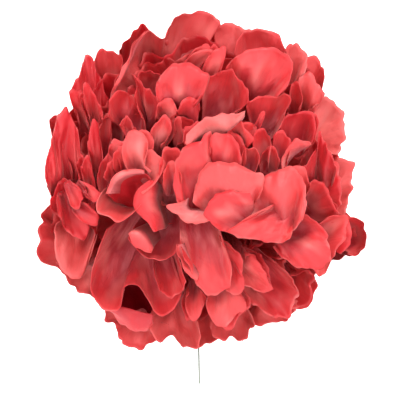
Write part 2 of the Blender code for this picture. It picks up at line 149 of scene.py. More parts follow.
# ------------------------------------------------------------------ petal fabric
def petal_material(name, coral, dusky, pale, translucent=0.10, deep=lin(128, 10, 24),
                   strong=lin(202, 24, 36)):
    """Stiffened satin-faced polyester: dusky rose at the base of each petal with painted shade at the very base, coral
    towards the edge, a painted pale rim highlight along the cut edge, painted pale highlights in patches, fine weave,
    pressed veins, soft sheen."""
    m, nt, b, out = new_mat(name)
    t = node(nt, "ShaderNodeAttribute", attribute_name="edge").outputs["Fac"]
    tone = node(nt, "ShaderNodeAttribute", attribute_name="tone").outputs["Fac"]
    al = node(nt, "ShaderNodeAttribute", attribute_name="along").outputs["Fac"]
    ac = node(nt, "ShaderNodeAttribute", attribute_name="across").outputs["Fac"]
    seed = node(nt, "ShaderNodeAttribute", attribute_name="seed").outputs["Fac"]
    geo = node(nt, "ShaderNodeTexCoord").outputs["Object"]
    # petal space: across and along in millimetres, and one slice for each petal
    vec = node(nt, "ShaderNodeCombineXYZ")
    link(nt, ac, vec.inputs[0]); link(nt, al, vec.inputs[1]); link(nt, seed, vec.inputs[2])
    blot = node(nt, "ShaderNodeTexNoise", ins={"Scale": 0.11, "Detail": 3.0, "Roughness": 0.55})
    link(nt, vec.outputs[0], blot.inputs["Vector"])
    # dye ramp with painted shade: dusky rose towards the petal base, painted shade at the very base where petals sink
    # into the creases, coral at the edge; it wanders with the blotches and is moved by each petal's tone, which is
    # partly painted light and shade
    shift = math_node(nt, "MULTIPLY", math_node(nt, "SUBTRACT", blot.outputs["Fac"], 0.5), 0.9)
    tt = math_node(nt, "ADD", t, shift)
    tt = math_node(nt, "ADD", tt, math_node(nt, "MULTIPLY", tone, 0.22))
    body = ramp(nt, tt, [(0.0, deep), (0.22, dusky), (0.50, tuple(0.60 * d + 0.40 * c for d, c in zip(dusky, coral))),
                         (0.80, coral), (1.0, coral)])
    # veins: long streaks along the petal
    sv = node(nt, "ShaderNodeMapping")
    sv.inputs["Scale"].default_value = (1.1, 0.06, 1.0)
    link(nt, vec.outputs[0], sv.inputs["Vector"])
    vn = node(nt, "ShaderNodeTexNoise", ins={"Scale": 1.0, "Detail": 4.0, "Roughness": 0.6})
    link(nt, sv.outputs[0], vn.inputs["Vector"])
    vein = ramp(nt, vn.outputs["Fac"], [(0.30, 0.70), (0.52, 1.0), (0.75, 1.14)])
    col = mix_rgb(nt, 0.38, body, vein, "MULTIPLY")
    # painted highlights: pale patches over the middle of the petal, and petals with a positive tone painted paler as if
    # lit
    pn = node(nt, "ShaderNodeTexNoise", ins={"Scale": 0.075, "Detail": 2.0, "Roughness": 0.5})
    off = node(nt, "ShaderNodeVectorMath", operation="ADD")
    off.inputs[1].default_value = (31.0, 7.0, 3.0)
    link(nt, vec.outputs[0], off.inputs[0]); link(nt, off.outputs[0], pn.inputs["Vector"])
    painted_highlight = ramp(nt, pn.outputs["Fac"], [(0.46, 0.0), (0.66, 0.80)])
    painted_highlight = math_node(nt, "MULTIPLY", painted_highlight, ramp(nt, t, [(0.10, 0.10), (0.50, 0.75), (0.80, 0.60), (0.98, 0.15)]))
    painted_highlight = math_node(nt, "ADD", painted_highlight, math_node(nt, "MULTIPLY", math_node(nt, "MAXIMUM", tone, 0.0), 0.30), clamp=True)
    col = mix_rgb(nt, painted_highlight, col, pale)
    # stronger dye in some petals, towards their edges and in patches
    redv = node(nt, "ShaderNodeAttribute", attribute_name="red").outputs["Fac"]
    rf = math_node(nt, "MULTIPLY", math_node(nt, "SUBTRACT", 1.0, blot.outputs["Fac"]), 1.1)
    rf = math_node(nt, "MULTIPLY", math_node(nt, "ADD", rf, ramp(nt, t, [(0.70, 0.0), (0.95, 0.45)])),
                   math_node(nt, "ADD", redv, 0.12), clamp=True)
    col = mix_rgb(nt, rf, col, strong)
    # painted shade: petals with a tone below about -2.2 are darkened towards near-black red, as the shade in deep
    # hollows
    painted_shade = math_node(nt, "SUBTRACT", math_node(nt, "MULTIPLY", tone, -0.45), 1.0, clamp=True)
    col = mix_rgb(nt, painted_shade, col, lin(96, 1, 10))
    # painted rim highlight: a thin pale line along the free edge, in patches
    rim_highlight = ramp(nt, t, [(0.962, 0.0), (0.990, 0.75)])
    rim_highlight = math_node(nt, "MULTIPLY", rim_highlight, ramp(nt, pn.outputs["Fac"], [(0.46, 0.0), (0.64, 0.30)]))
    col = mix_rgb(nt, rim_highlight, col, pale)
    # fine weave in petal space
    w1 = node(nt, "ShaderNodeTexWave", wave_type="BANDS", bands_direction="X",
              ins={"Scale": 1.15, "Distortion": 0.4, "Detail": 1.0})
    w2 = node(nt, "ShaderNodeTexWave", wave_type="BANDS", bands_direction="Y",
              ins={"Scale": 1.15, "Distortion": 0.4, "Detail": 1.0})
    link(nt, vec.outputs[0], w1.inputs["Vector"]); link(nt, vec.outputs[0], w2.inputs["Vector"])
    weave = math_node(nt, "MULTIPLY", w1.outputs["Fac"], w2.outputs["Fac"])
    col = mix_rgb(nt, 0.10, col, ramp(nt, weave, [(0.0, 0.72), (1.0, 1.1)]), "MULTIPLY")
    link(nt, col, b.inputs["Base Color"])
    rn = ramp(nt, blot.outputs["Fac"], [(0.3, 0.38), (0.7, 0.56)])
    link(nt, rn, b.inputs["Roughness"])
    # less specular and sheen where shade is painted
    lit = math_node(nt, "SUBTRACT", 1.0, painted_shade)
    link(nt, math_node(nt, "MULTIPLY", lit, 0.46), b.inputs["Specular IOR Level"])
    link(nt, math_node(nt, "MULTIPLY", lit, 0.20), b.inputs["Sheen Weight"])
    b.inputs["Sheen Roughness"].default_value = 0.45
    b.inputs["Sheen Tint"].default_value = (1.0, 0.62, 0.58, 1.0)
    h = math_node(nt, "ADD", math_node(nt, "MULTIPLY", weave, 0.18),
                  math_node(nt, "MULTIPLY", vn.outputs["Fac"], 0.6))
    # soft pressed crumples, a few millimetres across
    cr = node(nt, "ShaderNodeTexNoise", ins={"Scale": 0.15, "Detail": 2.0, "Roughness": 0.5, "Distortion": 0.6})
    off2 = node(nt, "ShaderNodeVectorMath", operation="ADD")
    off2.inputs[1].default_value = (5.0, 61.0, 9.0)
    link(nt, vec.outputs[0], off2.inputs[0]); link(nt, off2.outputs[0], cr.inputs["Vector"])
    soft = node(nt, "ShaderNodeBump", ins={"Strength": 0.7, "Distance": 0.0010})
    link(nt, cr.outputs["Fac"], soft.inputs["Height"])
    bump = node(nt, "ShaderNodeBump", ins={"Strength": 0.35, "Distance": 0.00022})
    link(nt, h, bump.inputs["Height"])
    link(nt, soft.outputs[0], bump.inputs["Normal"])
    link(nt, bump.outputs[0], b.inputs["Normal"])
    tr = node(nt, "ShaderNodeBsdfTranslucent")
    link(nt, mix_rgb(nt, 1.0, col, (1.0, 0.55, 0.50), "MULTIPLY"), tr.inputs["Color"])
    link(nt, bump.outputs[0], tr.inputs["Normal"])
    ms = node(nt, "ShaderNodeMixShader", ins={0: translucent})
    link(nt, b.outputs[0], ms.inputs[1]); link(nt, tr.outputs[0], ms.inputs[2])
    link(nt, ms.outputs[0], out.inputs[0])
    return m


FABRIC = {
    "outer": petal_material("petal_fabric_outer", lin(216, 47, 52), lin(152, 44, 54), lin(240, 134, 128)),
    "middle": petal_material("petal_fabric_middle", lin(217, 50, 54), lin(158, 52, 62), lin(242, 138, 132)),
    "inner": petal_material("petal_fabric_inner", lin(218, 50, 53), lin(163, 56, 64), lin(246, 146, 140)),
}


# ------------------------------------------------------------------ petal maker
def catmull(pts, n):
    """A smooth curve through pts, resampled to n points at equal spacing."""
    p = np.asarray(pts, float)
    q = np.vstack([2 * p[0] - p[1], p, 2 * p[-1] - p[-2]])
    out = []
    for i in range(1, len(q) - 2):
        p0, p1, p2, p3 = q[i - 1], q[i], q[i + 1], q[i + 2]
        t = np.linspace(0, 1, 14, endpoint=False)[:, None]
        out.append(0.5 * ((2 * p1) + (-p0 + p2) * t + (2 * p0 - 5 * p1 + 4 * p2 - p3) * t ** 2 +
                          (-p0 + 3 * p1 - 3 * p2 + p3) * t ** 3))
    out.append(q[-2][None])
    c = np.vstack(out)
    d = np.r_[0, np.cumsum(np.linalg.norm(np.diff(c, axis=0), axis=1))]
    s = np.linspace(0, d[-1], n)
    return np.stack([np.interp(s, d, c[:, k]) for k in range(c.shape[1])], 1), d[-1]


LAYER_Y = [-23, -30, -37, -44, -51, -57, -63, -68, -72, -75, -77, -72]
HUB_Y = [-12.0, -13.7, -15.4, -19.0, -20.7, -22.4, -26.0, -27.7, -29.4, -33.0, -34.7, -38.0]
HUB = (205.0, 192.0)
# Outline of the whole head on the plan, clockwise from twelve o'clock.
OUTLINE = [(202, 11), (222, 23), (250, 29), (270, 29), (282, 43), (305, 48), (322, 63), (325, 80),
           (331, 98), (344, 118), (345, 138), (353, 160), (352, 185), (348, 203), (362, 225),
           (366, 240), (352, 254), (331, 262), (317, 275), (309, 303), (290, 318), (256, 327),
           (242, 340), (213, 341), (192, 349), (172, 335), (143, 347), (122, 340), (106, 318),
           (88, 295), (68, 282), (56, 266), (38, 256), (37, 233), (43, 214), (50, 196), (45, 170),
           (51, 140), (51, 120), (63, 104), (76, 78), (88, 54), (108, 50), (122, 44), (143, 25),
           (164, 36), (180, 15)]


def outline_r(ang):
    c = np.array([202.0, 182.0])
    p = np.array(OUTLINE, float) - c
    a = np.arctan2(p[:, 1], p[:, 0])
    r = np.hypot(p[:, 0], p[:, 1])
    o = np.argsort(a)
    return np.interp(ang, np.r_[a[o][-1] - 2 * np.pi, a[o], a[o][0] + 2 * np.pi],
                     np.r_[r[o][-1], r[o], r[o][0]])



sheets = {k: [] for k in range(1, 13)}


def petal(layer, rim, base=None, yb=None, bw=5.0, prof=1.6, bulge=0.0, cup=0.0, curl=0.0,
          curl_at=0.72, ruf=1.0, wave=1.0, tone=0.0, seed=1, lean=0.0, crease=1.0, n_dir=None,
          y=None, yoff=0.0, tails=True, echo=True, red=None):
    """One petal of a layer: straight ribs fan out from its base to its free edge.

    rim: free edge, (u, v) or (u, v, y) with y in mm relative to the layer's rim depth
    base: (u, v) where the ribs start; yb its depth; bw its half width in plan units
    prof: how late the ribs rise from the base depth to the rim depth (1 is straight)
    bulge: mm that the middle stands out towards the viewer (negative, hollow)
    cup: mm that the sides come forwards; curl: mm that the free edge bends forwards
    ruf, wave: sizes of the short edge ruffles and of the longer waves
    """
    # tone lifts or darkens a whole petal: partly its dye, partly painted light and shade (positive paints it paler as
    # if lit, below about -2.2 paints shade)
    rng = np.random.default_rng(1000 + 37 * layer + seed * 7919)
    L = layer - 1
    rim3 = np.array([(p[0], p[1], p[2] if len(p) > 2 else 0.0) for p in rim], float)
    c0, plan_len = catmull(rim3[:, :2], 40)
    ns = int(np.clip(plan_len / 1.9, 22, 76))
    rc, _ = catmull(np.c_[rim3[:, :2], rim3[:, 2] * 0.6], ns)
    ry = (LAYER_Y[L] if y is None else y) + yoff + rc[:, 2] / 0.6
    R = at(rc[:, 0], rc[:, 1], ry)
    yb = HUB_Y[L] if yb is None else yb
    line = None
    if isinstance(base, list):
        line, _ = catmull(np.array([(p[0], p[1]) for p in base], float), ns)
        bu, bv = line.mean(0)
    else:
        bu, bv = base if base is not None else HUB
    d = rc[-1, :2] - rc[0, :2]
    mid = rc[:, :2].mean(0) - np.array([bu, bv])
    radial = mid / (np.linalg.norm(mid) + 1e-9)
    side = np.array([-radial[1], radial[0]])
    if side @ d < 0:
        side = -side
    s = np.linspace(0, 1, ns)
    a = (2 * s - 1)
    if line is not None:
        B = at(line[:, 0], line[:, 1], np.full(ns, yb))
    else:
        B = at(bu + side[0] * bw * a, bv + side[1] * bw * a, np.full(ns, yb))
    rib_len = np.linalg.norm(R - B, axis=1).mean() / MM
    nt = int(np.clip(rib_len / 1.1, 14, 40))
    t = np.linspace(0, 1, nt)
    T, A = np.meshgrid(t, a, indexing="ij")
    S = (A + 1) / 2
    P = B[None] * (1 - T[..., None]) + R[None] * T[..., None]
    y0 = B[None, :, 1]
    P[..., 1] = y0 + (R[None, :, 1] - y0) * T ** prof
    m = np.cross(R[-1] - R[0], R[ns // 2] - B[ns // 2])
    n = m / (np.linalg.norm(m) + 1e-12)
    if n[1] > 0:
        n = -n
    if n_dir is not None:
        n = np.asarray(n_dir, float); n /= np.linalg.norm(n)
    rim_mm = np.linalg.norm(np.diff(R, axis=0), axis=1).sum() / MM
    off = bulge * 4 * T * (1 - T) ** 0.8 * (1 - 0.75 * A ** 2)
    off += cup * A ** 2 * T ** 0.8
    k = np.clip((T - curl_at) / (1 - curl_at), 0, 1)
    off += curl * k ** 2 * (1 - 0.35 * A ** 2)
    # long waves of the free edge, then short ruffles
    f = np.zeros_like(S)
    for wl, amp in ((26.0, 1.0), (15.0, 0.8)):
        w = rim_mm / wl * (0.85 + 0.3 * rng.random())
        f += amp * np.sin(2 * np.pi * (w * S + rng.random()))
    off += wave * 0.85 * f * T ** 2.4
    f = np.zeros_like(S)
    for wl, amp in ((8.5, 1.0), (5.2, 0.55)):
        w = rim_mm / wl * (0.85 + 0.3 * rng.random())
        ph = rng.random()
        f += amp * np.sin(2 * np.pi * (w * S + ph + 0.08 * np.sin(2 * np.pi * (S * 2.3 + ph)))) * \
            (0.45 + 0.55 * np.sin(np.pi * (S * (1.3 + rng.random()) + rng.random())) ** 2)
    off += ruf * 0.80 * f * np.clip((T - 0.45) / 0.55, 0, 1) ** 2.2
    # soft pressed dents and long creases
    g = np.zeros_like(S)
    for _ in range(4):
        kx, ky = rng.uniform(0.4, 1.3) * rim_mm / 26.0, rng.uniform(0.5, 1.4) * rib_len / 24.0
        g += np.sin(2 * np.pi * (kx * S + ky * T + rng.random())) * rng.uniform(0.4, 1.0)
    off += crease * 0.95 * g * np.sin(np.pi * np.clip(T * 0.93, 0, 1)) ** 0.7
    g = np.zeros_like(S)
    for _ in range(4):
        # pressed pleats that fan out of the base
        kx = rng.uniform(1.6, 4.2) * max(0.7, rim_mm / 40.0)
        g += np.sin(2 * np.pi * (kx * S + 0.35 * rng.standard_normal() * T + rng.random())) * rng.uniform(0.3, 1.0)
    off += crease * 0.26 * g * T ** 1.2 * (1.15 - T)* 2.0
    # crumpling left by shaping and packing
    g = np.zeros_like(S)
    for _ in range(8):
        wl, th = rng.uniform(7.0, 15.0), rng.uniform(0, math.pi)
        g += np.sin(2 * np.pi * ((rim_mm * S * math.cos(th) + rib_len * T * math.sin(th)) / wl + rng.random()))
    off += crease * 0.16 * g * np.clip(T, 0, 1) ** 0.6
    P = P + n[None, None] * (off * MM)[..., None]
    # the cut edge wanders in and out a little
    rad = R - B
    rad /= np.linalg.norm(rad, axis=1)[:, None] + 1e-9
    jag = np.zeros(ns)
    for wl, amp in ((3.4, 0.16), (5.3, 0.30), (9.0, 0.42)):
        jag += amp * np.sin(2 * np.pi * (rim_mm / wl * s + rng.random()))
    P = P + rad[None] * (jag[None] * T ** 5 * MM * ruf)[..., None]
    if lean:
        P = P + np.array([0, -1, 0]) * (lean * A * T * MM)[..., None]
    if tails and base is not None:
        # the petal's claw runs back to the hole in the middle of its layer
        hub = at(HUB[0], HUB[1], HUB_Y[L])
        hubs = hub[None] + (B - B.mean(0)[None]) * 0.25
        k = np.linspace(0, 1, 9)[:-1, None, None]
        C = hubs[None] * (1 - k) + P[0][None] * k
        C[..., 1] = hubs[None, :, 1] + (P[0][None, :, 1] - hubs[None, :, 1]) * k[..., 0] ** 2.2
        wn = 0.45 + 0.55 * k ** 1.5
        mid_c = C.mean(1, keepdims=True)
        C = mid_c + (C - mid_c) * wn
        P = np.concatenate([C, P], 0)
        T = np.concatenate([np.repeat(-0.3 * (1 - k[..., 0]), ns, 1) + 0 * a[None], T], 0)
        S = np.concatenate([np.repeat(((a + 1) / 2)[None], len(k), 0), S], 0)
    if echo and bulge > 0 and layer >= 5 and tails and line is None and base is not None and seed < 90:
        # a second petal pressed behind this one, turned a little on the same base, with a lower tone: painted a little
        # darker as shade behind the front petal
        c = np.array([202.0, 182.0]); b2 = np.array([bu, bv])
        turn = (0.16 if rng.random() < 0.5 else -0.16) * (0.7 + 0.6 * rng.random())
        rot = np.array([[math.cos(turn), -math.sin(turn)], [math.sin(turn), math.cos(turn)]])
        q = b2 + (rim3[:, :2] - b2) @ rot.T * (0.97 + 0.10 * rng.random())
        for _ in range(12):
            e = q - c
            lim = outline_r(np.arctan2(e[:, 1], e[:, 0])) * 0.95
            if (np.hypot(e[:, 0], e[:, 1]) < lim).all():
                break
            q = b2 + (q - b2) * 0.97
        petal(layer, [(p[0], p[1], r[2]) for p, r in zip(q, rim3)], base=(bu, bv), yb=yb + 1.5, bw=bw,
              prof=prof * 1.1, bulge=bulge * 0.6 - 1.0, ruf=ruf * 1.2, wave=wave * 1.2, tone=tone - 0.35,
              seed=seed + 100, y=(LAYER_Y[L] if y is None else y) + 4.5, yoff=yoff, echo=False)
    area = grid_area(P)
    if red is None:
        red = (0.55 if layer <= 3 else 0.25 if layer <= 8 else 0.1) + 0.25 * rng.uniform(-1, 1)
    sheets[layer].append(dict(P=P, T=T, S=S, tone=tone, red=red, seed=float(seed * 3.17 % 50),
                              rib=rib_len, rim=rim_mm, area=area))


def grid_area(P):
    a = np.cross(P[1:, :-1] - P[:-1, :-1], P[:-1, 1:] - P[:-1, :-1])
    b = np.cross(P[1:, :-1] - P[1:, 1:], P[:-1, 1:] - P[1:, 1:])
    return 0.5 * (np.linalg.norm(a, axis=-1).sum() + np.linalg.norm(b, axis=-1).sum())


# ------------------------------------------------------------------ the petals
def ring(layer, count, scale, turn, yoff=0.0, **kw):
    """A whole ring of broad backing petals inside the outline."""
    for i in range(count):
        mid = turn + 2 * np.pi * i / count
        if layer >= 4 and abs((mid - 2.07 + np.pi) % (2 * np.pi) - np.pi) < 0.42:
            continue    # the hollow at the lower left stays open
        half = np.pi / count * 1.28
        rim = []
        for k in range(9):
            q = -1 + k / 4.0
            ang = mid + half * q
            ang = (ang + np.pi) % (2 * np.pi) - np.pi
            rr = outline_r(np.array([ang]))[0] * scale * (1 - 0.20 * abs(q) ** 3.5)
            rim.append((202 + rr * math.cos(ang), 182 + rr * math.sin(ang), 3.0 * math.sin(2.3 * k + i)))
        petal(layer, rim, seed=90 + i + layer * 11, yoff=yoff, tails=False, **kw)


# the rings further in, behind the front petals, get lower tones: painted darker as shade
ring(4, 8, 0.80, 0.35, yoff=6.0, prof=2.2, bulge=-2.0, curl=1.0, tone=-0.5, ruf=1.2)
ring(5, 7, 0.68, 0.05, yoff=9.0, prof=2.4, bulge=-2.0, curl=1.0, tone=-0.5, ruf=1.2)
ring(6, 7, 0.57, 0.50, yoff=11.0, prof=2.6, bulge=-1.5, curl=1.0, tone=-0.5, ruf=1.2)
ring(7, 6, 0.46, 0.20, yoff=13.0, prof=2.8, bulge=-1.5, curl=1.0, tone=-0.5, ruf=1.2)
ring(8, 6, 0.36, 0.70, yoff=13.0, prof=3.0, bulge=-1.0, curl=1.0, tone=-0.5, ruf=1.2)
ring(9, 5, 0.26, 0.10, yoff=14.0, prof=3.0, bulge=-1.0, curl=1.0, tone=-0.6, ruf=1.2)
ring(1, 8, 0.955, 0.20, prof=1.25, bulge=-3.0, curl=2.0, tone=0.3, red=0.35)
ring(2, 8, 0.93, 0.60, prof=1.5, bulge=-3.0, curl=1.5, tone=0.1, red=0.35)
ring(3, 7, 0.86, 0.10, prof=1.8, bulge=-3.0, curl=1.0, tone=-0.35)

# --- outer petals, clockwise from the top left
petal(3, [(72, 100), (72, 88), (78, 76), (83, 62), (87, 52), (92, 57), (96, 70), (103, 86), (108, 104), (108, 118)],
      base=(92, 152), y=-39, yb=-30, prof=1.2, bulge=-1.5, tone=0.0, red=0.8, seed=1)
petal(2, [(92, 68), (94, 57), (101, 50), (108, 49), (114, 50), (119, 55), (121, 66), (118, 80), (113, 92)],
      base=(112, 122), y=-38, yb=-26, bulge=-2, tone=0.5, seed=2, red=0.2)
petal(2, [(117, 80), (119, 62), (121, 46), (127, 39), (134, 31), (139, 26), (143, 24), (148, 28), (151, 38), (152, 60)],
      base=(140, 104), y=-31, yb=-16, bulge=-2, tone=-0.45, seed=3)
petal(4, [(111, 104, -6), (112, 92, -9), (119, 77, -9), (127, 63, -8), (135, 48, -6), (142, 37, -3), (149, 31, 0), (157, 36, 2),
          (163, 38, 3), (167, 31, 4), (172, 22, 5), (178, 16, 5), (185, 14, 5), (193, 14, 4), (202, 11, 3), (210, 13, 3),
          (216, 17, 3), (221, 25, 2)],
      base=(166, 96), y=-42, yb=-30, prof=1.3, bulge=-5, tone=0.8, seed=4, bw=12, ruf=0.6, red=0.4)
petal(4, [(146, 31), (136, 41), (128, 58), (119, 74), (112, 90), (110, 103)],
      base=[(142, 36), (135, 50), (128, 68), (119, 84), (112, 100), (111, 106)], y=-53, yb=-52, tone=0.55, seed=5,
      bulge=0.6, wave=0.2, ruf=0.3, tails=False)
petal(3, [(212, 26), (221, 23), (231, 24), (240, 26), (248, 28), (253, 33), (255, 46)],
      base=(230, 78), y=-36, yb=-31, bulge=1, tone=0.7, seed=6, bw=10, red=0.1)
petal(4, [(234, 52), (238, 41), (246, 33), (255, 29), (264, 28), (272, 30), (279, 35), (283, 43), (286, 52), (284, 62)],
      base=(262, 84), y=-43, yb=-28, bulge=2, tone=0.4, red=0.5, seed=7, bw=12, ruf=0.5)
petal(3, [(283, 52), (287, 44), (292, 45), (297, 44), (302, 47), (306, 53), (308, 61), (306, 72), (300, 82)],
      base=(286, 92), y=-44, yb=-36, bulge=2, tone=1.0, red=0.1, seed=8)
petal(2, [(304, 62), (308, 56), (314, 57), (320, 62), (324, 69), (325, 76), (324, 88), (322, 98), (316, 108)],
      base=(296, 112), y=-31, yb=-25, bulge=-1, tone=0.5, seed=9, red=0.15)
petal(4, [(296, 104), (297, 88), (299, 77), (304, 73), (310, 73), (316, 78), (320, 86), (323, 95), (321, 103), (312, 109)],
      base=(299, 120), y=-45, yb=-33, bulge=3, tone=0.7, red=0.2, seed=10, bw=8)
petal(3, [(304, 116), (311, 107), (319, 100), (326, 97), (331, 98), (336, 104), (342, 111), (345, 120), (344, 130), (346, 138),
          (342, 146), (338, 153), (332, 153), (325, 147)],
      base=(304, 142), y=-39, yb=-33, bulge=1, tone=1.6, red=0.1, seed=11, bw=9, crease=1.8)
petal(3, [(328, 168), (334, 158), (342, 157), (350, 160), (354, 166), (352, 174), (350, 182), (353, 190), (350, 198), (347, 206),
          (344, 216)],
      base=(312, 198), y=-37, yb=-30, bulge=1, tone=1.2, red=0.1, seed=12, bw=10)
petal(4, [(308, 178), (314, 166), (322, 160), (331, 160), (338, 168), (342, 180), (343, 192), (339, 206), (331, 216)],
      base=(304, 204), y=-46, yb=-32, bulge=2, tone=-0.25, seed=13, bw=9)
petal(5, [(308, 186), (314, 180), (321, 185), (329, 195), (336, 205), (338, 215), (331, 224)],
      base=(302, 212), y=-52, yb=-42, bulge=1, tone=-0.35, seed=14, bw=7)
petal(4, [(345, 219), (352, 217), (358, 221), (363, 229), (367, 237), (366, 247), (361, 253), (354, 256), (347, 254)],
      base=(338, 238), y=-36, yb=-26, bulge=-3,
      prof=1.3, tone=-0.2, red=0.4, seed=15, ruf=0.5, tails=False, bw=9)
petal(4, [(341, 218), (346, 219), (351, 224), (353, 233), (351, 243), (347, 250), (341, 254)],
      base=(326, 236), y=-42, yb=-34, bulge=2.5, tone=-0.1, red=0.6, seed=215, bw=9, ruf=0.6)
# its low tone paints it a little darker as shade
petal(2, [(356, 254), (347, 258), (339, 261), (331, 263), (326, 262)],
      base=(322, 240), y=-28, yb=-18, bulge=-1, tone=-2.6, seed=16, bw=8, red=0.0)
petal(2, [(330, 258), (327, 268), (322, 274), (316, 276), (317, 284), (313, 290), (313, 297), (308, 305), (300, 309), (294, 311)],
      base=(285, 262), y=-34, yb=-26, bulge=-2, tone=0.3, seed=17, bw=9, red=0.3)
petal(4, [(290, 278), (299, 272), (309, 270), (315, 277), (315, 286), (312, 296), (307, 303), (300, 308), (293, 308)],
      base=(280, 262), y=-44, yb=-30, bulge=1, tone=0.2, seed=18, bw=8, red=0.4)
petal(3, [(242, 340), (249, 332), (256, 327), (264, 326), (271, 323), (280, 321), (288, 319), (294, 311), (297, 300)],
      base=(252, 282), y=-43, yb=-32, bulge=-1, tone=0.8, seed=19, bw=10, red=0.1)
petal(4, [(210, 326), (214, 339), (224, 339), (232, 337), (238, 341), (245, 339), (250, 333), (254, 327), (252, 316), (247, 308)],
      base=(226, 288), y=-50, yb=-40, bulge=-2, tone=0.8, seed=20, bw=10, red=0.1)
petal(3, [(190, 334), (193, 347), (200, 347), (206, 345), (213, 342), (221, 340), (226, 337), (229, 325)],
      base=(206, 290), y=-43, yb=-34, bulge=-2, tone=0.8, seed=21, bw=8, red=0.1)
petal(4, [(147, 320), (151, 332), (157, 341), (165, 338), (172, 335), (178, 341), (184, 347), (191, 349), (198, 347), (201, 336),
          (197, 320), (192, 306)],
      base=(172, 282), y=-52, yb=-42, bulge=-3, tone=0.8, seed=22, bw=10, red=0.0)
petal(3, [(104, 306), (105, 320), (108, 323), (114, 323), (116, 330), (119, 337), (122, 340), (122, 344), (128, 347), (136, 348),
          (143, 350), (147, 345), (155, 341), (163, 339), (172, 335), (176, 326)],
      base=(142, 316), y=-47, yb=-45, bulge=-2, tone=0.8, seed=23, bw=12, ruf=0.6, red=0.3)
petal(2, [(57, 262), (60, 270), (66, 276), (70, 285), (78, 291), (87, 295), (95, 299), (101, 306), (108, 312)],
      base=(92, 266), y=-44, yb=-41, bulge=-2, tone=1.1, seed=24, bw=9, red=0.0)
petal(2, [(60, 202), (52, 204), (46, 207), (42, 212), (41, 217), (43, 222), (39, 226), (37, 232), (40, 239), (38, 244), (36, 250),
          (39, 257), (44, 263), (51, 266), (57, 267), (62, 272)],
      base=(90, 236), y=-38, yb=-26, bulge=-1, tone=1.0, red=0.5, seed=25, bw=12, ruf=0.4, wave=0.5)
petal(4, [(60, 220), (56, 224), (54, 235), (55, 250), (58, 262), (62, 269), (67, 276), (73, 281), (80, 279), (86, 270), (90, 258),
          (94, 246), (97, 236)],
      base=(88, 214), y=-47, yb=-34, bulge=3, tone=0.75, seed=26, bw=12, ruf=0.5, red=0.0, crease=1.2)
petal(3, [(54, 142), (51, 131), (50, 120), (52, 116), (58, 114), (63, 113), (68, 122), (68, 135)],
      base=(72, 160), y=-37, yb=-24, bulge=-1, tone=0.3, seed=27, bw=8)
petal(5, [(50, 192), (45, 178), (45, 165), (50, 148), (54, 132), (57, 117), (58, 112), (64, 106), (69, 112), (77, 129), (80, 145),
          (81, 160), (78, 176)],
      base=(64, 207), y=-50, yb=-34, bulge=4, tone=-0.2, red=0.95, seed=28, bw=11, crease=1.3)
petal(4, [(78, 120), (73, 104), (70, 92), (73, 87), (79, 92), (85, 101), (90, 111), (93, 124)],
      base=(88, 136), y=-46, yb=-36, bulge=2, tone=0.1, red=0.7, seed=29, bw=6)
petal(5, [(90, 122), (87, 108), (84, 95), (83, 84), (87, 85), (93, 93), (99, 102), (103, 112), (102, 122)],
      base=(98, 134), y=-51, yb=-40, bulge=2, tone=0.1, red=0.7, seed=30, bw=5)
petal(5, [(97, 126), (101, 119), (108, 116), (116, 116), (121, 122), (124, 134)],
      base=(114, 156), y=-50, yb=-38, bulge=-3, tone=-0.4, seed=31, bw=7)
petal(5, [(96, 188), (92, 172), (89, 155), (88, 138), (90, 124), (94, 119), (99, 124), (101, 140), (103, 160), (105, 182)],
      base=(100, 200), y=-54, yb=-42, bulge=2, tone=-0.3, red=0.7, seed=32, bw=5)
petal(6, [(87, 190), (83, 179), (81, 167), (84, 157), (88, 156), (91, 165), (93, 176), (96, 190)],
      base=(93, 203), y=-59, yb=-48, bulge=1, tone=0.0, red=0.7, seed=33, bw=4)
petal(6, [(99, 190), (97, 179), (99, 168), (104, 160), (108, 152), (113, 147), (113, 158), (110, 172), (112, 186)],
      base=(107, 200), y=-59, yb=-50, bulge=1, tone=0.1, red=0.6, seed=34, bw=5)
petal(4, [(50, 206), (55, 190), (61, 182), (68, 178), (75, 182), (81, 190), (89, 196), (95, 205)],
      base=(82, 232), y=-47, yb=-34, bulge=-1, tone=-0.3, red=0.8, seed=35, bw=9, ruf=1.3)
petal(5, [(56, 203), (59, 214), (63, 224), (69, 233), (77, 239), (85, 237), (90, 229), (87, 218), (80, 208)],
      base=(62, 191), y=-54, yb=-44, bulge=2.5, tone=-0.1, red=0.8, seed=36, bw=5, ruf=1.0, echo=False)
petal(6, [(75, 215), (83, 222), (91, 226), (98, 223), (99, 216), (93, 209), (85, 203)],
      base=(71, 202), y=-58, yb=-50, bulge=2, tone=-0.9, red=0.5, seed=37, bw=4, ruf=0.8, echo=False)
petal(6, [(69, 198), (74, 208), (80, 210), (83, 202), (81, 193), (76, 185)],
      base=(67, 181), y=-58, yb=-50, bulge=1.5, tone=0.0, red=0.7, seed=237, bw=3, ruf=0.8, echo=False)
petal(7, [(84, 197), (92, 202), (100, 200), (102, 194), (95, 187), (86, 183)],
      base=(77, 182), y=-61, yb=-54, bulge=1.5, tone=-0.3, red=0.6, seed=238, bw=4, ruf=0.8, echo=False)

